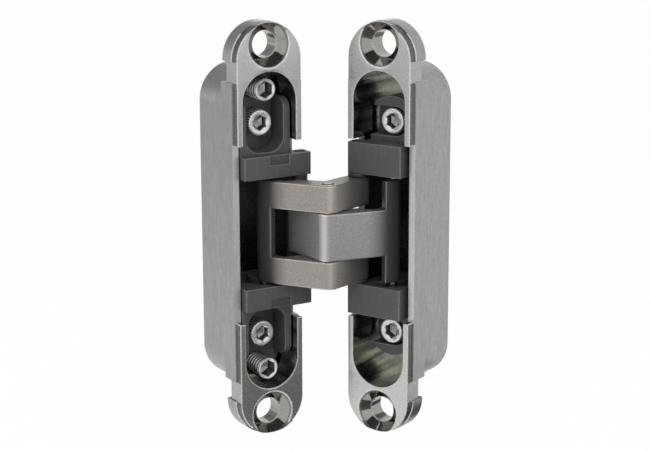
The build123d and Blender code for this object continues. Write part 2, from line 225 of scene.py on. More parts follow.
class HingeDetails(PropertyGroup):
    """Sizes of the details that the finishes add."""

    casting_edge: FloatProperty(
        name="Casting edge", description="Width of the castings' broken edges",
        default=0.24 * MM, **LENGTH,
    )
    carrier_edge: FloatProperty(
        name="Carrier edge", description="Width of the carriers' broken edges",
        default=0.22 * MM, **LENGTH,
    )
    arm_edge: FloatProperty(
        name="Arm edge", description="Width of the arms' rounded edges",
        default=0.42 * MM, **LENGTH,
    )
    pin_edge: FloatProperty(
        name="Pin edge", description="Width of the pins' chamfers",
        default=0.45 * MM, **LENGTH,
    )
    bush_edge: FloatProperty(
        name="Bush edge", description="Width of the chamfers on bushes, spacers and washers",
        default=0.12 * MM, **LENGTH,
    )
    knurl_count: IntProperty(
        name="Knurls", description="Knurls round a clamp screw's head", default=30, min=6,
    )
    knurl_depth: FloatProperty(
        name="Knurl depth", description="Depth of the knurls",
        default=0.16 * MM, **LENGTH,
    )
    clamp_key: FloatProperty(
        name="Clamp key", description="Size of the clamp screws' hexagon key",
        default=3.5 * MM, **LENGTH,
    )
    clamp_socket: FloatProperty(
        name="Clamp socket", description="Depth of the clamp screws' sockets",
        default=2.4 * MM, **LENGTH,
    )
    head_height: FloatProperty(
        name="Head height", description="Height of the clamp screws' heads",
        default=4.0 * MM, **LENGTH,
    )
    shank_radius: FloatProperty(
        name="Shank radius", description="Outside radius of the clamp screws' threads",
        default=2.0 * MM, **LENGTH,
    )
    depth_key: FloatProperty(
        name="Depth key", description="Size of the depth screws' hexagon key",
        default=4.0 * MM, **LENGTH,
    )
    depth_socket: FloatProperty(
        name="Depth socket", description="Depth of the depth screws' sockets",
        default=4.0 * MM, **LENGTH,
    )
    clamp_pitch: FloatProperty(
        name="Clamp pitch", description="Pitch of the clamp screws' threads",
        default=0.7 * MM, **LENGTH,
    )
    depth_pitch: FloatProperty(
        name="Depth pitch", description="Pitch of the depth screws' threads",
        default=1.2 * MM, **LENGTH,
    )


class HingeStage(PropertyGroup):
    """Camera, floor and light."""

    eye: FloatVectorProperty(
        name="Eye", description="Where the camera stands, from the centre of the frame leaf's face",
        default=(-0.21303, -0.37396, 0.10298), subtype="TRANSLATION", unit="LENGTH", size=3,
    )
    azimuth: FloatProperty(
        name="Azimuth", description="Camera's turn about the vertical",
        default=radians(-31.514), subtype="ANGLE",
    )
    elevation: FloatProperty(
        name="Elevation", description="Camera's height angle",
        default=radians(13.19), subtype="ANGLE",
    )
    roll: FloatProperty(
        name="Roll", description="Camera's roll", default=radians(-0.155), subtype="ANGLE",
    )
    focal_pixels: FloatProperty(
        name="Focal length", description="Focal length in pixels of the photograph's width",
        default=1724, min=1,
    )
    floor_gap: FloatProperty(
        name="Floor gap", description="Height of the hinge above the floor",
        default=0.02, **LENGTH,
    )
    ambient: FloatProperty(
        name="Ambient", description="Strength of the light from all round", default=0.55, min=0,
    )
    key_power: FloatProperty(
        name="Key", description="Power of the key light", default=7.0, unit="POWER", min=0,
    )
    fill_power: FloatProperty(
        name="Fill", description="Power of the fill light", default=3.0, unit="POWER", min=0,
    )


def settings():
    """The scene's finishes, details and stage."""
    scene = bpy.context.scene
    return scene.hinge_finishes, scene.hinge_details, scene.hinge_stage


def shade(colour, factor):
    """A colour made darker or lighter by a factor."""
    return tuple(min(1.0, factor * part) for part in colour)


def feed(tree, value, socket):
    """Gives a socket a value, or links it to the socket that the value comes from."""
    if isinstance(value, bpy.types.NodeSocket):
        tree.links.new(value, socket)
    else:
        socket.default_value = value


def math_node(tree, operation, first, second):
    """A Math node whose operands are sockets or numbers; gives its output."""
    node = tree.nodes.new("ShaderNodeMath")
    node.operation = operation
    feed(tree, first, node.inputs[0])
    feed(tree, second, node.inputs[1])
    return node.outputs[0]


def vector_node(tree, operation, first, second, output="Vector"):
    """A Vector Math node whose operands are sockets or vectors; gives its named output."""
    node = tree.nodes.new("ShaderNodeVectorMath")
    node.operation = operation
    feed(tree, first, node.inputs[0])
    feed(tree, second, node.inputs[1])
    return node.outputs[output]


def range_node(tree, value, low, high, to_low=0.0, to_high=1.0):
    """A clamped Map Range node whose ends are sockets or numbers; gives its output."""
    node = tree.nodes.new("ShaderNodeMapRange")
    labels = ("Value", "From Min", "From Max", "To Min", "To Max")
    for label, given in zip(labels, (value, low, high, to_low, to_high)):
        feed(tree, given, node.inputs[label])
    return node.outputs["Result"]


def colour_mix(tree, factor, first, second):
    """A colour between two, each a socket or red, green and blue, by a factor from a socket."""
    node = tree.nodes.new("ShaderNodeMix")
    node.data_type = "RGBA"
    feed(tree, factor, node.inputs[0])
    for value, socket in zip((first, second), node.inputs[MIX_COLOURS]):
        feed(tree, (*value, 1) if isinstance(value, tuple) else value, socket)
    return node.outputs[MIX_RESULT]


def noise_mask(tree, vector, scale, detail, roughness, low, high):
    """Noise of a scale read at a vector, with its values from low to high mapped to 0 to 1."""
    noise = tree.nodes.new("ShaderNodeTexNoise")
    inputs = {"Vector": vector, "Scale": scale, "Detail": detail, "Roughness": roughness}
    for label, value in inputs.items():
        feed(tree, value, noise.inputs[label])
    return range_node(tree, noise.outputs[0], low, high)


def grain_mask(tree, given):
    """Even grain: noise with fine detail."""
    return noise_mask(tree, given["Vector"], given["Scale"], detail=4, roughness=0.6,
                      low=0.28, high=0.72)


def streak_mask(tree, given):
    """Long soft streaks: noise drawn out along the direction in which they run.

    A point p reads the noise at p - d (p . d) (1 - 1 / stretch), where d is that direction.
    """
    reach = vector_node(tree, "DOT_PRODUCT", given["Vector"], given["Run"], "Value")
    squeeze = math_node(tree, "SUBTRACT", 1.0, math_node(tree, "DIVIDE", 1.0, given["Stretch"]))
    back = vector_node(tree, "MULTIPLY", given["Run"], math_node(tree, "MULTIPLY", reach, squeeze))
    along = vector_node(tree, "SUBTRACT", given["Vector"], back)
    return noise_mask(tree, along, given["Scale"], detail=3, roughness=0.5, low=0.3, high=0.7)


def reach_mask(tree, given):
    """How far a point lies along a direction: their dot product, from start and end to 0 and 1."""
    reach = vector_node(tree, "DOT_PRODUCT", given["Vector"], given["Direction"], "Value")
    return range_node(tree, reach, given["Start"], given["End"])


# Each mask's node group: what builds it, and the vectors and numbers that it is given
mask_groups = {
    "even_grain": (grain_mask, ("Vector",), ("Scale",)),
    "long_streaks": (streak_mask, ("Vector", "Run"), ("Scale", "Stretch")),
    "reach_along": (reach_mask, ("Vector", "Direction"), ("Start", "End")),
}


def mask_group(name):
    """The shader node group of a mask, built when it is first asked for."""
    if name in bpy.data.node_groups:
        return bpy.data.node_groups[name]
    build, vector_labels, number_labels = mask_groups[name]
    tree = bpy.data.node_groups.new(name, "ShaderNodeTree")
    for labels, kind in ((vector_labels, "NodeSocketVector"), (number_labels, "NodeSocketFloat")):
        for label in labels:
            tree.interface.new_socket(name=label, in_out="INPUT", socket_type=kind)
    tree.interface.new_socket(name="Mask", in_out="OUTPUT", socket_type="NodeSocketFloat")
    given = tree.nodes.new("NodeGroupInput").outputs
    result = tree.nodes.new("NodeGroupOutput").inputs
    feed(tree, build(tree, given), result["Mask"])
    return tree


def placed_mask(tree, name, place, values):
    """Puts a mask's node group into a material, with its values; gives the mask at each place."""
    node = tree.nodes.new("ShaderNodeGroup")
    node.node_tree = mask_group(name)
    for label, value in {"Vector": place, **values}.items():
        feed(tree, value, node.inputs[label])
    return node.outputs["Mask"]


def new_material(name):
    """A new material and its node tree."""
    material = bpy.data.materials.new(name)
    material.use_nodes = True
    return material, material.node_tree


def finish(name, colour, roughness, metallic=1.0, spread=0.12, dulling=0.06, grain=3000.0,
           streak=0.0, stretch=14.0, share=0.5, run=(0, 0, 1), relief=0.0,
           relief_depth=0.02 * MM, painted_light_and_shade=(), groove_painted_shade=1.0):
    """A procedural finish.

    Its colour runs from darker to lighter by the spread, and its roughness by the dulling, with a
    mask mixed from even grain and, by their share, streaks that run in one direction; relief raises
    the same mask as a bump. Each mark of painted light and shade gives the colour times its factor
    where all its spans are reached: a factor above 1 is a painted highlight, below 1 painted shade; a
    span is a direction and the distances along it where it begins and is full. The groove share
    paints shade into threads and knurls: it is the share of the colour left at their bottom, which
    the mesh's crest attribute marks with 0.
    """
    if name in bpy.data.materials:
        return bpy.data.materials[name]
    material, tree = new_material(name)
    material.diffuse_color = (*colour, 1)
    shader = tree.nodes["Principled BSDF"].inputs
    shader["Metallic"].default_value = metallic
    place = tree.nodes.new("ShaderNodeTexCoord").outputs["Object"]
    mask = placed_mask(tree, "even_grain", place, {"Scale": grain})
    if streak:
        values = {"Scale": streak, "Stretch": stretch, "Run": run}
        flow = placed_mask(tree, "long_streaks", place, values)
        mask = math_node(tree, "ADD", math_node(tree, "MULTIPLY", mask, 1 - share),
                         math_node(tree, "MULTIPLY", flow, share))
    tone = colour_mix(tree, mask, shade(colour, 1 - spread), shade(colour, 1 + spread))
    # Painted highlights and painted shade, each along its spans
    for spans, factor in painted_light_and_shade:
        reached = 1.0
        for direction, start, end in spans:
            values = {"Direction": direction, "Start": start, "End": end}
            reach = placed_mask(tree, "reach_along", place, values)
            reached = math_node(tree, "MULTIPLY", reached, reach)
        tone = colour_mix(tree, reached, tone, shade(colour, factor))
    # Painted shade at the bottom of threads and knurls
    if groove_painted_shade < 1:
        crest = tree.nodes.new("ShaderNodeAttribute")
        crest.attribute_name = "crest"
        tone = colour_mix(tree, crest.outputs["Fac"], shade(colour, groove_painted_shade), tone)
    feed(tree, tone, shader["Base Color"])
    dullest, glossiest = roughness + dulling, max(GLOSSIEST, roughness - dulling)
    feed(tree, range_node(tree, mask, 0, 1, dullest, glossiest), shader["Roughness"])
    if relief:
        bump = tree.nodes.new("ShaderNodeBump")
        bump.inputs["Strength"].default_value = relief
        bump.inputs["Distance"].default_value = relief_depth
        feed(tree, mask, bump.inputs["Height"])
        feed(tree, bump.outputs["Normal"], shader["Normal"])
    return material


def put(name, data):
    """A new object in the scene, at the origin."""
    thing = bpy.data.objects.new(name, data)
    bpy.context.collection.objects.link(thing)
    return thing


def add_piece(name, mesh, materials, node, body):
    """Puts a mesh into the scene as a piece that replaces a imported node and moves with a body."""
    for material in materials:
        mesh.materials.append(material)
    piece = put(name, mesh)
    flats = piece.modifiers.new("flat_faces", "WEIGHTED_NORMAL")
    flats.keep_sharp = True
    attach(piece, body)
    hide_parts(node)


def smooth_faces(mesh):
    """Shades a mesh smooth up to its corners."""
    mesh.polygons.foreach_set("use_smooth", np.ones(len(mesh.polygons), dtype=bool))
    mesh.set_sharp_from_angle(angle=CORNER_ANGLE)


class Zone(IntEnum):
    """Zones of a dressed node, which are its material numbers.

    Every node has a body and an edge. The castings have all the zones, and a carrier's recess takes
    the place of the face.
    """

    BODY = 0
    EDGE = 1
    FACE = 2
    RECESS = FACE
    POCKET_WALL = 3
    COUNTERSINK = 4
    LIP_SIDE = 5
    CAVITY = 6
    SINK_MOUTH = 7
    LUG_LIP_SIDE = 8
    POCKET_FLOOR = 9
    PLATE_SIDE = 10
    LEDGE = 11


def merged_copy(node, cuts):
    """Copy of a node's mesh, its loose triangles merged and cut by planes (point and normal)."""
    mesh = frame["nodes"][node].data.copy()
    mesh.name = "edged_" + node
    mesh.materials.clear()
    if "custom_normal" in mesh.attributes:
        mesh.attributes.remove(mesh.attributes["custom_normal"])
    shape = bmesh.new()
    shape.from_mesh(mesh)
    bmesh.ops.remove_doubles(shape, verts=shape.verts, dist=MERGE)
    for point, normal in cuts:
        geometry = [*shape.verts, *shape.edges, *shape.faces]
        bmesh.ops.bisect_plane(shape, geom=geometry, plane_co=point, plane_no=normal)
    shape.to_mesh(mesh)
    shape.free()
    return mesh


def edged_copy(node, width, segments=2, zones=None, cuts=(), chosen=None):
    """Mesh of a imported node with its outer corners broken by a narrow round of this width.

    The merged triangles take their zone's material and flat areas are made whole; each convex edge
    sharper than the corner angle is bevelled, and the rounds take the edge's material. Zones is a
    function that gives material numbers from the faces' centres and normals, and chosen one that
    tells from points which edges are bevelled.
    """
    mesh = merged_copy(node, cuts)
    if zones:
        numbers = zones(vectors(mesh.polygons, "center"), vectors(mesh.polygons, "normal"))
        mesh.polygons.foreach_set("material_index", numbers.astype(np.int32))
    shape = bmesh.new()
    shape.from_mesh(mesh)
    bmesh.ops.dissolve_limit(
        shape, angle_limit=FLAT_ANGLE, verts=shape.verts, edges=shape.edges, delimit={"MATERIAL"},
    )
    bmesh.ops.triangulate(shape, faces=shape.faces)
    corners = [
        edge for edge in shape.edges
        if edge.is_manifold and edge.is_convex and edge.calc_face_angle(0) > CORNER_ANGLE
        and (chosen is None or chosen(np.array([vert.co for vert in edge.verts])).all())
    ]
    bmesh.ops.bevel(
        shape, geom=corners, offset=width, offset_type="OFFSET", segments=segments, profile=0.5,
        affect="EDGES", loop_slide=False, clamp_overlap=False, material=Zone.EDGE,
    )
    bmesh.ops.dissolve_degenerate(shape, dist=MERGE, edges=shape.edges)
    shape.to_mesh(mesh)
    shape.free()
    mesh.validate()
    smooth_faces(mesh)
    return mesh


def housing_zones(leaf):
    """Function that sorts a housing's faces into the zones of the casting."""
    sink_radius = hole_radius + (lug_depth - hole_wall)

    def zones(centres, normals):
        x, depth, z = leaf.local(centres).T
        inward = leaf.turned(normals)[:, 1]
        height = np.abs(z)
        front, side = inward < -FACING, np.abs(inward) < BESIDE
        straight = np.clip(z, POCKET_HALF_WIDTH - POCKET_HALF, POCKET_HALF - POCKET_HALF_WIDTH)
        from_middle = np.hypot(x, z - straight)
        from_hole = np.hypot(x, height - fixing_height)
        inside = (from_middle < POCKET_HALF_WIDTH + HAIR) & (depth > HAIR) & (inward < BESIDE)
        lip = side & (depth < LIP_DEPTH)
        notch = (height > RIM_HALF) & (height < LUG_START)
        sink = (from_hole < sink_radius + HAIR) & (depth > HAIR) & (depth < lug_depth - HAIR)
        sink &= np.abs(inward) < FACING
        numbers = np.full(len(x), Zone.BODY)
        numbers[front & (depth < LIP_DEPTH + HAIR)] = Zone.FACE
        numbers[lip] = Zone.LUG_LIP_SIDE
        numbers[lip & (height < RIM_HALF)] = Zone.LIP_SIDE
        numbers[notch & side & (np.abs(x) > POCKET_HALF_WIDTH)] = Zone.PLATE_SIDE
        numbers[front & (np.abs(depth - LIP_DEPTH) < HAIR) & (height < RIM_HALF)] = Zone.LEDGE
        numbers[inside] = Zone.POCKET_WALL
        numbers[inside & front] = Zone.POCKET_FLOOR
        numbers[inside & (height < CAVITY_HALF + HAIR)] = Zone.CAVITY
        numbers[sink] = Zone.COUNTERSINK
        numbers[sink & (depth < MOUTH_DEPTH)] = Zone.SINK_MOUTH
        return numbers

    return zones


def front_points(leaf):
    """Function that tells which points lie on a housing's face or ledge or in its fixing holes.

    The ends beyond the holes, where the countersinks break through the outer edge, are left out.
    """

    def chosen(points):
        x, depth, z = leaf.local(points).T
        beyond = np.abs(z) - fixing_height
        in_hole = (np.hypot(x, beyond) < hole_radius + HAIR) & (depth < lug_depth - HAIR)
        return ((depth < LIP_DEPTH + HAIR) & (beyond < hole_radius)) | in_hole

    return chosen


def carrier_zones(leaf):
    """Function that sorts a carrier's faces: the floor of the recess in its front, and the rest."""

    def zones(centres, normals):
        depth = leaf.local(centres)[:, 1]
        front = leaf.turned(normals)[:, 1] < -FACING
        return np.where(front & (depth > HAIR) & (depth < RECESS_DEPTH), Zone.RECESS, Zone.BODY)

    return zones


def round_angles(columns):
    """Angles of the columns of a turned shape: 2 pi k / columns."""
    return 2 * pi * np.arange(columns) / columns


def ring_grid(count, columns):
    """Quads between successive rings of a grid of points, closed round the columns."""
    index = np.arange(count * columns).reshape(count, columns)
    below, above = index[:-1], index[1:]
    quads = (below, np.roll(below, -1, axis=1), np.roll(above, -1, axis=1), above)
    return np.stack(quads, axis=-1).reshape(-1, 4)


def turned_mesh(name, rings, bands, places, leaf):
    """Closed turned shape repeated at several places on a leaf.

    Ring i has a radius, a height below the face and a crest value at each angle, and the first and
    last rings are closed by fans to a point on the axis. Bands are the material numbers of the
    first fan and of the quads from each ring to the next; the last one also serves the last fan.
    """
    radii, heights, crests = (np.stack(values) for values in zip(*rings))
    count, columns = radii.shape
    angle = round_angles(columns)
    local = np.stack((radii * np.cos(angle), heights, radii * np.sin(angle)), axis=-1)
    local = local.reshape(-1, 3)
    caps = np.array(((0, heights[0].mean(), 0), (0, heights[-1].mean(), 0)))
    one = np.concatenate((local, caps))
    first = np.arange(columns)
    last = first + (count - 1) * columns
    low = np.stack((np.full(columns, len(local)), np.roll(first, -1), first), axis=-1)
    high = np.stack((np.full(columns, len(local) + 1), last, np.roll(last, -1)), axis=-1)
    quads = ring_grid(count, columns)
    points, faces = [], []
    for number, (x, z) in enumerate(places):
        points.append(leaf.placed(one + np.array((x, 0, z))))
        for part in (low, quads, high):
            faces += (part + number * len(one)).tolist()
    mesh = bpy.data.meshes.new(name)
    mesh.from_pydata(np.concatenate(points).tolist(), [], faces)
    numbers = np.tile(np.repeat((*bands, bands[-1]), columns), len(places))
    mesh.polygons.foreach_set("material_index", numbers.astype(np.int32))
    crest = mesh.attributes.new("crest", "FLOAT", "POINT")
    crest_values = np.concatenate((crests.ravel(), np.ones(len(caps))))
    crest.data.foreach_set("value", np.tile(crest_values, len(places)))
    shape = bmesh.new()
    shape.from_mesh(mesh)
    bmesh.ops.recalc_face_normals(shape, faces=shape.faces)
    shape.to_mesh(mesh)
    shape.free()
    smooth_faces(mesh)
    return mesh


class ScrewBand(IntEnum):
    """Bands of a screw, which are its material numbers."""

    THREAD = 0
    SOCKET = 1
    RIM = 2


def hexagon(angle, key):
    """Radius of a hexagon at each angle: half its key size over the cosine to its nearest flat."""
    return key / 2 / np.cos((angle + pi / 6) % (pi / 3) - pi / 6)


def thread_wave(turns):
    """Depth of a thread from its crest, 0 to 1, at a number of turns t: a rounded triangle wave.

    It is half of 1 - cos(2 pi t) (1.1 - 0.1 cos(4 pi t)).
    """
    return 0.5 - 0.5 * np.cos(2 * pi * turns) * (1.1 - 0.1 * np.cos(4 * pi * turns))


def screw_places(node, leaf):
    """Radius, top and tip of a node's two screws, and the places of their axes on the leaf."""
    low, high = leaf.box(node)
    radius = high[0]
    place = high[2] - radius
    return radius, low[1], high[1], ((0, place), (0, -place))


def socket_rings(angle, key, depth, top):
    """Rings of a hexagon socket, from its drilled floor up to the chamfer round its mouth."""
    drilled_share, drilled_depth = 0.45, 0.25 * MM
    floor_share, floor_round = 0.93, 0.12 * MM
    mouth_margin, mouth_drop, chamfer_foot = 0.08 * MM, 0.1 * MM, 0.3 * MM
    hole = hexagon(angle, key)
    mouth = np.full_like(angle, key / 2 / cos(pi / 6) + mouth_margin)
    full = np.ones_like(angle)
    floor = top + depth
    return [
        (hole * drilled_share, (floor + drilled_depth) * full, full),
        (hole * floor_share, floor * full, full),
        (hole, (floor - floor_round) * full, full),
        (hole, (floor - depth / 2) * full, full),
        (hole, (top + chamfer_foot) * full, full),
        (mouth, (top + mouth_drop) * full, full),
    ]


def clamp_screw_mesh(name, node, leaf):
    """Cap screws of a leaf: knurled head with a dished top and a hexagon socket, and a shank.

    The rings run from the socket's floor over the head's rim, a quarter round, whose radius is the
    head's less a knurl wave cos(knurls x angle), down the shank, whose radius is less a thread wave
    of height / pitch - angle / 2 pi.
    """
    columns_per_knurl, rim_rings, knurl_rings, thread_rings = 6, 7, 6, 72
    rim, foot, foot_bevel = 0.6 * MM, 0.3 * MM, 0.2 * MM
    knurl_start = 1.3 * rim
    thread_start, thread_depth, tip_taper, tip_bevel = 0.05 * MM, 0.38 * MM, 0.5 * MM, 0.6 * MM
    details = settings()[1]
    radius, top, tip, places = screw_places(node, leaf)
    under, shank = top + details.head_height, details.shank_radius
    angle = round_angles(columns_per_knurl * details.knurl_count)
    full = np.ones_like(angle)
    wave = 0.5 - 0.5 * np.cos(details.knurl_count * angle)
    knurl = details.knurl_depth * wave
    rings = socket_rings(angle, details.clamp_key, details.clamp_socket, top)
    bands = [ScrewBand.SOCKET] * (len(rings) - 1)
    for turn in np.linspace(0, pi / 2, rim_rings):
        share = sin(turn)
        fade = share**4
        rings.append((radius - rim + rim * share - knurl * fade,
                      (top + rim - rim * cos(turn)) * full, 1 - wave * fade))
    for depth in np.linspace(top + knurl_start, under - foot, knurl_rings):
        rings.append((radius - knurl, depth * full, 1 - wave))
    rings.append(((radius - foot_bevel) * full, under * full, full))
    rings.append((shank * full, under * full, full))
    for depth in np.linspace(under + thread_start, tip - tip_taper, thread_rings):
        thread = thread_wave(depth / details.clamp_pitch - angle / (2 * pi))
        rings.append((shank - thread_depth * thread, depth * full, 1 - thread))
    rings.append(((shank - tip_bevel) * full, tip * full, full))
    rings.append((TIP_SHARE * shank * full, tip * full, full))
    bands += [ScrewBand.THREAD] * (len(rings) - len(bands))
    return turned_mesh(name, rings, bands, places, leaf)


def depth_screw_mesh(name, node, leaf):
    """Set screws of the frame leaf: a thread from end to end, chamfered, with a hexagon socket.

    The radius is the thread's less a thread wave of height / pitch - angle / 2 pi, faded in below
    the top chamfer.
    """
    columns, thread_rings = 96, 140
    chamfer, thread_start, thread_depth = 0.4 * MM, 0.1 * MM, 0.55 * MM
    tip_bevel = 1.2 * chamfer
    details = settings()[1]
    radius, top, tip, places = screw_places(node, leaf)
    angle = round_angles(columns)
    full = np.ones_like(angle)
    rings = socket_rings(angle, details.depth_key, details.depth_socket, top)
    bands = [ScrewBand.SOCKET] * (len(rings) - 1)
    rings.append(((radius - chamfer) * full, top * full, full))
    for depth in np.linspace(top + thread_start, tip - chamfer, thread_rings):
        lead = min(1.0, (depth - top) / chamfer)
        thread = thread_wave(depth / details.depth_pitch - angle / (2 * pi))
        fade = lead**2
        cone = radius - chamfer * (1 - lead)
        rings.append((np.minimum(radius - thread_depth * thread * fade, cone), depth * full,
                      (1 - thread * fade)**2))
    rings.append(((radius - tip_bevel) * full, tip * full, full))
    rings.append((TIP_SHARE * radius * full, tip * full, full))
    bands += [
        ScrewBand.RIM if heights[0] < top + chamfer else ScrewBand.THREAD
        for _, heights, _ in rings[len(bands):]
    ]
    return turned_mesh(name, rings, bands, places, leaf)


def arm_painted_light_and_shade(name, far):
    """Painted light and shade of an arm: a painted highlight along the elbow's crest, and painted shade darkening
    its sliding root and the fork's tails.
    """
    # Factors of the painted light and shade: elbow crest lightened as a highlight, root and tails darkened as
    # shade
    elbow_painted_highlight, root_painted_shade, tail_painted_shade = 1.45, 0.28, 0.66
    elbow_span = (-1.1 * MM, -0.1 * MM)
    elbow_depths = (2 * MM, 1 * MM)
    root_span = (10 * MM, 15.5 * MM)
    tail_span = (0.5 * MM, 6 * MM)
    centre = node_points("centre_pin").mean(axis=0)
    centre[2] = 0
    ways = []
    for end in (name + "_slide_pin", far):
        way = node_points(end).mean(axis=0) - centre
        way[2] = 0
        ways.append(way / np.linalg.norm(way))
    crest = -(ways[0] + ways[1]) / np.linalg.norm(ways[0] + ways[1])
    side = np.array((-crest[1], crest[0], 0))
    tip = ((node_points(name + "_arm") - centre) @ crest).max()

    def span(direction, start, end):
        offset = centre @ direction
        return tuple(direction), offset + start, offset + end

    elbow = (
        span(side, *elbow_span),
        span(-side, *elbow_span),
        span(crest, *(tip - depth for depth in elbow_depths)),
    )
    painted_light_and_shade = [(elbow, elbow_painted_highlight), ((span(ways[0], *root_span),), root_painted_shade)]
    if name == "fork":
        painted_light_and_shade.append(((span(ways[1], *tail_span),), tail_painted_shade))
    return painted_light_and_shade


class HINGE_OT_dress_housings(Operator):
    """Dress the cast leaves: satin outside, polished countersinks with a warm painted reflection, pockets with
    painted reflections, painted shade in the cavities, on the lips and at the sinks' mouths, painted light on the
    ledges and plate sides, worn edges with a painted highlight
    """

    bl_idname = "hinge.dress_housings"
    bl_label = "Dress housings"

    def execute(self, context):
        finishes, details, _ = settings()
        zinc, dull, lining = finishes.casting, finishes.casting_roughness, finishes.pocket
        materials = {
            Zone.BODY: finish("satin_casting", zinc, dull, spread=0.14, grain=900, streak=1100,
                              stretch=6, relief=0.2),
            # Broken edges lighter than the body: wear, and a painted highlight along each edge
            Zone.EDGE: finish("worn_and_highlight_casting_edge", shade(zinc, 1.9), 0.34, metallic=0.6,
                              spread=0.2, grain=2600, relief=0.2),
            Zone.FACE: finish("ground_face", shade(zinc, 1.68), dull - 0.06, spread=0.08,
                              grain=2600, relief=0.08),
            # Warm colour of the countersinks: partly a painted reflection
            Zone.COUNTERSINK: finish("polished_countersink", finishes.countersink, 0.1,
                                     spread=0.08, grain=600, streak=900, share=0.4),
            # Painted shade: the lip's side darker than the body
            Zone.LIP_SIDE: finish("painted_shade_lip_side", shade(zinc, 0.48), 0.5, spread=0.3,
                                  grain=1600, relief=0.3),
            # Painted shade: the cavity behind the arms darkened
            Zone.CAVITY: finish("painted_shade_cavity", shade(lining, 0.3), 0.3, spread=0.3, grain=900,
                                relief=0.2),
            # Painted shade: a dark ring round each countersink's mouth
            Zone.SINK_MOUTH: finish("painted_shade_sink_mouth", shade(zinc, 0.7), 0.35, spread=0.15,
                                    grain=2400),
            # Painted shade: the plate's side at the lugs darker than the body
            Zone.LUG_LIP_SIDE: finish("painted_shade_lug_lip", shade(zinc, 0.44), 0.42, spread=0.25,
                                      grain=1600, relief=0.2),
            Zone.POCKET_FLOOR: finish("satin_pocket_floor", shade(lining, 1.1), 0.24, spread=0.15,
                                      grain=1200),
            # Painted light: the plate's side beside the notches lighter than the body
            Zone.PLATE_SIDE: finish("painted_light_plate_side", shade(zinc, 1.22), dull, grain=1600,
                                    relief=0.15),
            # Painted light: the ledge beside the rim lighter than the body
            Zone.LEDGE: finish("painted_light_ledge", shade(zinc, 1.75), 0.36, metallic=0.7, grain=1600),
        }
        heights = (LUG_START, RIM_HALF, CAVITY_HALF, -CAVITY_HALF, -RIM_HALF, -LUG_START)
        for side, leaf in leaves.items():
            node = side + "_housing"
            inward = leaf.axes[1]
            # Painted reflections: streaks along the depth, from near black to nearly twice as light, on the
            # polished pocket walls
            materials[Zone.POCKET_WALL] = finish(
                f"reflection_painted_{side}_pocket", shade(lining, 0.9), 0.14, spread=0.97, grain=300,
                streak=420, share=0.92, run=tuple(inward), relief=0.45, relief_depth=0.15 * MM,
            )
            cuts = [((0, 0, height), (0, 0, 1)) for height in heights]
            cuts.append((leaf.placed(np.array((0, MOUTH_DEPTH, 0))), inward))
            mesh = edged_copy(node, details.casting_edge, zones=housing_zones(leaf), cuts=cuts,
                              chosen=front_points(leaf))
            add_piece("cast_" + node, mesh, [materials[zone] for zone in Zone], node,
                      side + "_leaf")
        return {"FINISHED"}


class HINGE_OT_dress_carriers(Operator):
    """Dress the four charcoal carriers: broken edges lightened by rubbed wear and a painted highlight, the front
    recess darkened as painted shade
    """

    bl_idname = "hinge.dress_carriers"
    bl_label = "Dress carriers"

    def execute(self, context):
        finishes, details, _ = settings()
        coal = finishes.carrier
        materials = (
            finish("charcoal_carrier", coal, 0.5, metallic=0.35, spread=0.2, dulling=0.1,
                   grain=2600, streak=1500, stretch=10, share=0.35, relief=0.3),
            # Edges lighter than the body: rubbed wear, and a painted highlight along each edge
            finish("rubbed_and_highlight_carrier_edge", shade(coal, 1.9), 0.4, metallic=0.6, spread=0.25,
                   grain=2200),
            # Painted shade: the floor of the front recess darker
            finish("painted_shade_carrier_recess", shade(coal, 0.7), 0.5, metallic=0.35, spread=0.2,
                   grain=2600),
        )
        for side, leaf in leaves.items():
            for end in ("top", "bottom"):
                node = f"{side}_carrier_{end}"
                mesh = edged_copy(node, details.carrier_edge, zones=carrier_zones(leaf))
                add_piece("charcoal_" + node, mesh, materials, node, side + "_carriers")
        return {"FINISHED"}


class HINGE_OT_dress_arms(Operator):
    """Dress the fork arm and the single arm: blasted faces with a painted highlight on the elbow and painted shade
    on the roots and the fork's tails, rounded edges lightened by burnished wear and a painted highlight
    """

    bl_idname = "hinge.dress_arms"
    bl_label = "Dress arms"

    def execute(self, context):
        finishes, details, _ = settings()
        for name, grey, far in (("fork", finishes.fork_arm, "door_pivot_pins"),
                                ("single", finishes.single_arm, "frame_pivot_pin")):
            painted_light_and_shade = arm_painted_light_and_shade(name, far)
            materials = (
                finish(f"blasted_{name}_arm", grey, 0.46, metallic=0.8, spread=0.2, grain=2600,
                       relief=0.35, painted_light_and_shade=painted_light_and_shade),
                # Edges lighter than the faces: burnished wear, and a painted highlight along each edge
                finish(f"burnished_and_highlight_{name}_arm_edge", shade(grey, 1.45), 0.36, metallic=0.9,
                       spread=0.25, grain=2400, relief=0.2, painted_light_and_shade=painted_light_and_shade),
            )
            mesh = edged_copy(name + "_arm", details.arm_edge, segments=3)
            add_piece(f"blasted_{name}_arm", mesh, materials, name + "_arm", name)
        return {"FINISHED"}


class HINGE_OT_make_clamp_screws(Operator):
    """Make the knurled cap screws that clamp the carriers to the leaves"""

    bl_idname = "hinge.make_clamp_screws"
    bl_label = "Make clamp screws"

    def execute(self, context):
        plating = settings()[0].screw
        materials = (
            # Painted shade in the knurls and thread grooves, by the groove share
            finish("plated_screw", plating, 0.2, metallic=0.7, dulling=0.05, grain=2400,
                   groove_painted_shade=0.2),
            # Painted shade: the hexagon socket darker than the head
            finish("painted_shade_socket", shade(plating, 0.42), 0.3, spread=0.2, grain=2400),
        )
        for side, leaf in leaves.items():
            node = side + "_clamp_screws"
            mesh = clamp_screw_mesh("knurled_" + node, node, leaf)
            add_piece("knurled_" + node, mesh, materials, node, side + "_leaf")
        return {"FINISHED"}


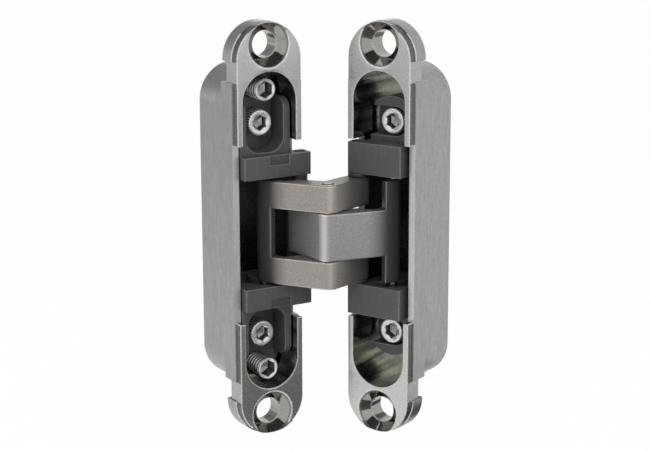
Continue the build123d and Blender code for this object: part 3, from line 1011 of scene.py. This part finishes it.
class HINGE_OT_make_depth_screws(Operator):
    """Make the threaded set screws that set the frame leaf's depth"""

    bl_idname = "hinge.make_depth_screws"
    bl_label = "Make depth screws"

    def execute(self, context):
        plating = settings()[0].screw
        materials = (
            # Painted shade in the thread grooves, by the groove share
            finish("plated_set_screw", plating, 0.22, spread=0.15, grain=2400, groove_painted_shade=0.04),
            # Painted shade: the hexagon socket darker than the thread
            finish("painted_shade_set_screw_socket", shade(plating, 0.45), 0.3, spread=0.2, grain=2400),
            finish("bright_set_screw_rim", plating, 0.3, metallic=0.55, grain=2400),
        )
        node = "frame_depth_screws"
        mesh = depth_screw_mesh("threaded_" + node, node, leaves["frame"])
        add_piece("threaded_" + node, mesh, materials, node, "frame_carriers")
        return {"FINISHED"}


class HINGE_OT_dress_pins(Operator):
    """Dress the steel pins and the dark bushes, spacers and washers with small chamfers, the pins' chamfers
    darkened as painted shade
    """

    bl_idname = "hinge.dress_pins"
    bl_label = "Dress pins and bushes"

    def execute(self, context):
        finishes, details, _ = settings()
        steel = (
            finish("ground_pin", finishes.pin, 0.26, spread=0.08, grain=1800, streak=2600),
            # Painted shade: a dark ring of chamfer round each pin's end
            finish("painted_shade_pin_edge", shade(finishes.pin, 0.12), 0.4, spread=0.2, grain=2400),
        )
        plastic = (
            # Dark plastic; on the spacers and washers under the ears the near-black is also painted shade
            finish("dark_bush", finishes.bush, 0.45, metallic=0.0, spread=0.15, relief=0.15),
            finish("dark_bush_edge", shade(finishes.bush, 1.5), 0.4, metallic=0.0, spread=0.15),
        )
        riders = {
            "frame_carriers": ("frame_pivot_pin", "frame_pivot_spacers"),
            "single": ("single_pivot_bush", "centre_bush", "single_slide_pin",
                       "single_slide_bushes"),
            "fork": ("centre_pin", "fork_pivot_bushes", "fork_slide_pin", "fork_slide_bushes"),
            "door_carriers": ("door_pivot_pins", "door_thrust_washers"),
        }
        for body, names in riders.items():
            for node in names:
                if "pin" in node:
                    width, materials, slot = details.pin_edge, steel, "pin"
                else:
                    width, materials, slot = details.bush_edge, plastic, "bush"
                mesh = edged_copy(node, width)
                add_piece("chamfered_" + node, mesh, materials, node, body)
        return {"FINISHED"}


def mixed_shader(tree, factor, first, second):
    """A mixture of two shaders by a factor, a socket or a number."""
    mix = tree.nodes.new("ShaderNodeMixShader")
    for value, socket in zip((factor, first, second), mix.inputs):
        feed(tree, value, socket)
    return mix.outputs[0]


def light_level(tree, plain, shown):
    """A shader that cameras, reflections and glass see as shown, and other rays as plain."""
    path = tree.nodes.new("ShaderNodeLightPath").outputs
    seen = math_node(tree, "MAXIMUM", path["Is Camera Ray"], path["Is Glossy Ray"])
    seen = math_node(tree, "MAXIMUM", seen, path["Is Transmission Ray"])
    return mixed_shader(tree, seen, plain, shown)


def white_world(ambient):
    """World that lights from all round at this strength and shows plain white."""
    world = bpy.data.worlds.new("white_room")
    world.use_nodes = True
    tree = world.node_tree
    tree.nodes.clear()
    levels = []
    for strength in (ambient, 1):
        level = tree.nodes.new("ShaderNodeBackground")
        level.inputs["Color"].default_value = (1, 1, 1, 1)
        level.inputs["Strength"].default_value = strength
        levels.append(level.outputs[0])
    result = tree.nodes.new("ShaderNodeOutputWorld")
    feed(tree, light_level(tree, *levels), result.inputs["Surface"])
    bpy.context.scene.world = world


def rectangle(name, centre, along, across):
    """Mesh of a rectangle from its centre and two half sides: centre +- along +- across."""
    corners = (
        centre - along - across, centre + along - across,
        centre + along + across, centre - along + across,
    )
    mesh = bpy.data.meshes.new(name)
    mesh.from_pydata([tuple(corner) for corner in corners], [], [(0, 1, 2, 3)])
    return mesh


def pale_floor(height):
    """Wide pale floor at this height, nearly white to the camera, which keeps a faint shadow."""
    half, paleness, roughness, glow_share = 3.0, 0.9, 0.9, 0.97
    mesh = rectangle("pale_floor", *np.array(((0, 0, height), (half, 0, 0), (0, half, 0))))
    material, tree = new_material("pale_floor")
    matte = tree.nodes["Principled BSDF"]
    matte.inputs["Base Color"].default_value = (paleness, paleness, paleness, 1)
    matte.inputs["Roughness"].default_value = roughness
    glow = tree.nodes.new("ShaderNodeEmission")
    glow.inputs["Strength"].default_value = 1
    faint = mixed_shader(tree, glow_share, matte.outputs[0], glow.outputs[0])
    result = tree.nodes["Material Output"]
    feed(tree, light_level(tree, matte.outputs[0], faint), result.inputs["Surface"])
    mesh.materials.append(material)
    floor = put("pale_floor", mesh)


def stand(holder, right, up, back, place):
    """Places a lamp or camera, turned so that its x, y and z run along right, up and back."""
    rows = [(*row, shift) for row, shift in zip(np.stack((right, up, back), axis=1), place)]
    holder.matrix_world = Matrix((*rows, (0, 0, 0, 1)))


def soft_lamp(name, place, size, power):
    """Square soft lamp at this place, turned toward the origin."""
    lamp = bpy.data.lights.new(name, "AREA")
    lamp.size = size
    lamp.energy = power
    holder = put(name, lamp)
    holder.visible_glossy = False
    back = np.array(place) / np.linalg.norm(place)
    right = np.cross((0, 0, 1), back)
    right /= np.linalg.norm(right)
    stand(holder, right, np.cross(back, right), back, place)


def graded_card(name, centre, along, across, tones):
    """Card seen only in reflections, a rectangle graded along its first half side.

    Its tone at a point p is mapped from (p - centre) . along / along . along, -1 to 1, onto the two
    tones.
    """
    centre, along, across = np.array((centre, along, across), dtype=float)
    mesh = rectangle(name, centre, along, across)
    material, tree = new_material(name)
    tree.nodes.clear()
    unit = along / (along @ along)
    middle = centre @ along / (along @ along)
    place = tree.nodes.new("ShaderNodeTexCoord").outputs["Object"]
    reach = vector_node(tree, "DOT_PRODUCT", place, unit, "Value")
    glow = tree.nodes.new("ShaderNodeEmission")
    tone = range_node(tree, reach, middle - 1, middle + 1, *tones)
    feed(tree, tone, glow.inputs["Strength"])
    result = tree.nodes.new("ShaderNodeOutputMaterial")
    feed(tree, glow.outputs[0], result.inputs["Surface"])
    mesh.materials.append(material)
    card = put(name, mesh)
    card.visible_camera = False
    card.visible_diffuse = False
    card.visible_transmission = False
    card.visible_shadow = False


def photo_camera(stage):
    """Camera at the photograph's eye, with its azimuth, elevation, roll and focal length."""
    az, el, roll = stage.azimuth, stage.elevation, stage.roll
    back = np.array((sin(az) * cos(el), -cos(az) * cos(el), sin(el)))
    level = np.array((cos(az), sin(az), 0))
    upright = np.cross(back, level)
    right = level * cos(roll) + upright * sin(roll)
    up = upright * cos(roll) - level * sin(roll)
    lens = bpy.data.cameras.new("photo_camera")
    lens.sensor_fit = "HORIZONTAL"
    lens.angle_x = 2 * atan(PHOTO_WIDTH / 2 / stage.focal_pixels)
    lens.clip_start = CAMERA_NEAR
    lens.clip_end = CAMERA_FAR
    holder = put("photo_camera", lens)
    stand(holder, right, up, back, np.array(stage.eye) + leaves["frame"].face)
    bpy.context.scene.camera = holder


class HINGE_OT_set_stage(Operator):
    """Set the white stage: floor, world, soft lamps, reflected cards and camera"""

    bl_idname = "hinge.set_stage"
    bl_label = "Set stage"

    def execute(self, context):
        stage = settings()[2]
        context.scene.view_settings.view_transform = "Standard"
        white_world(stage.ambient)
        ground = cad_box[0][2] - stage.floor_gap
        pale_floor(ground)
        soft_lamp("key_lamp", place=(-0.45, -0.75, 0.85), size=0.7, power=stage.key_power)
        soft_lamp("fill_lamp", place=(0.9, -0.6, 0.5), size=0.8, power=stage.fill_power)
        mat = ground + MM
        # Each card's centre, two half sides and two tones
        cards = {
            "front_mat": ((0.18, -0.38, mat), (0.20, -0.32, 0), (0.098, 0.06, 0), (0.12, 0.58)),
            "left_mat": ((-0.5, 0.09, mat), (-0.46, 0.085, 0), (0.04, 0.25, 0), (1.0, 0.1)),
            "back_mat": ((-0.277, 0.436, mat + MM), (-0.209, 0.341, 0), (0.17, 0.105, 0),
                         (1.0, 0.55)),
            "dark_ceiling": ((0.1, -0.45, 0.75), (0.0, 0.55, 0), (0.8, 0, 0), (0.05, 0.1)),
            "grey_back": ((-0.25, 0.8, 0.52), (0, 0, 0.37), (0.55, 0, 0), (0.55, 0.3)),
        }
        for name, card in cards.items():
            graded_card(name, *card)
        photo_camera(stage)
        return {"FINISHED"}


class HINGE_PT_panel(Panel):
    """Lists the hinge's pieces and stage"""

    bl_idname = "HINGE_PT_panel"
    bl_label = "Concealed hinge"
    bl_space_type = "VIEW_3D"
    bl_region_type = "UI"
    bl_category = "Hinge"

    def draw(self, context):
        for group in settings():
            box = self.layout.box()
            for name in group.__annotations__:
                box.prop(group, name)
        for operator in operators:
            self.layout.operator(operator.bl_idname)


operators = (
    HINGE_OT_dress_housings,
    HINGE_OT_dress_carriers,
    HINGE_OT_dress_arms,
    HINGE_OT_make_clamp_screws,
    HINGE_OT_make_depth_screws,
    HINGE_OT_dress_pins,
    HINGE_OT_set_stage,
)
classes = (HingeFinishes, HingeDetails, HingeStage, *operators, HINGE_PT_panel)


def register():
    """Registers the classes and gives each scene its settings."""
    for cls in classes:
        bpy.utils.register_class(cls)
    bpy.types.Scene.hinge_finishes = PointerProperty(type=HingeFinishes)
    bpy.types.Scene.hinge_details = PointerProperty(type=HingeDetails)
    bpy.types.Scene.hinge_stage = PointerProperty(type=HingeStage)


def unregister():
    """Takes the settings and the classes away again."""
    del bpy.types.Scene.hinge_stage
    del bpy.types.Scene.hinge_details
    del bpy.types.Scene.hinge_finishes
    for cls in reversed(classes):
        bpy.utils.unregister_class(cls)


def main():
    """Makes every piece and the stage."""
    register()
    bpy.ops.hinge.dress_housings()
    bpy.ops.hinge.dress_carriers()
    bpy.ops.hinge.dress_arms()
    bpy.ops.hinge.make_clamp_screws()
    bpy.ops.hinge.make_depth_screws()
    bpy.ops.hinge.dress_pins()
    bpy.ops.hinge.set_stage()


if __name__ == "__main__":
    main()
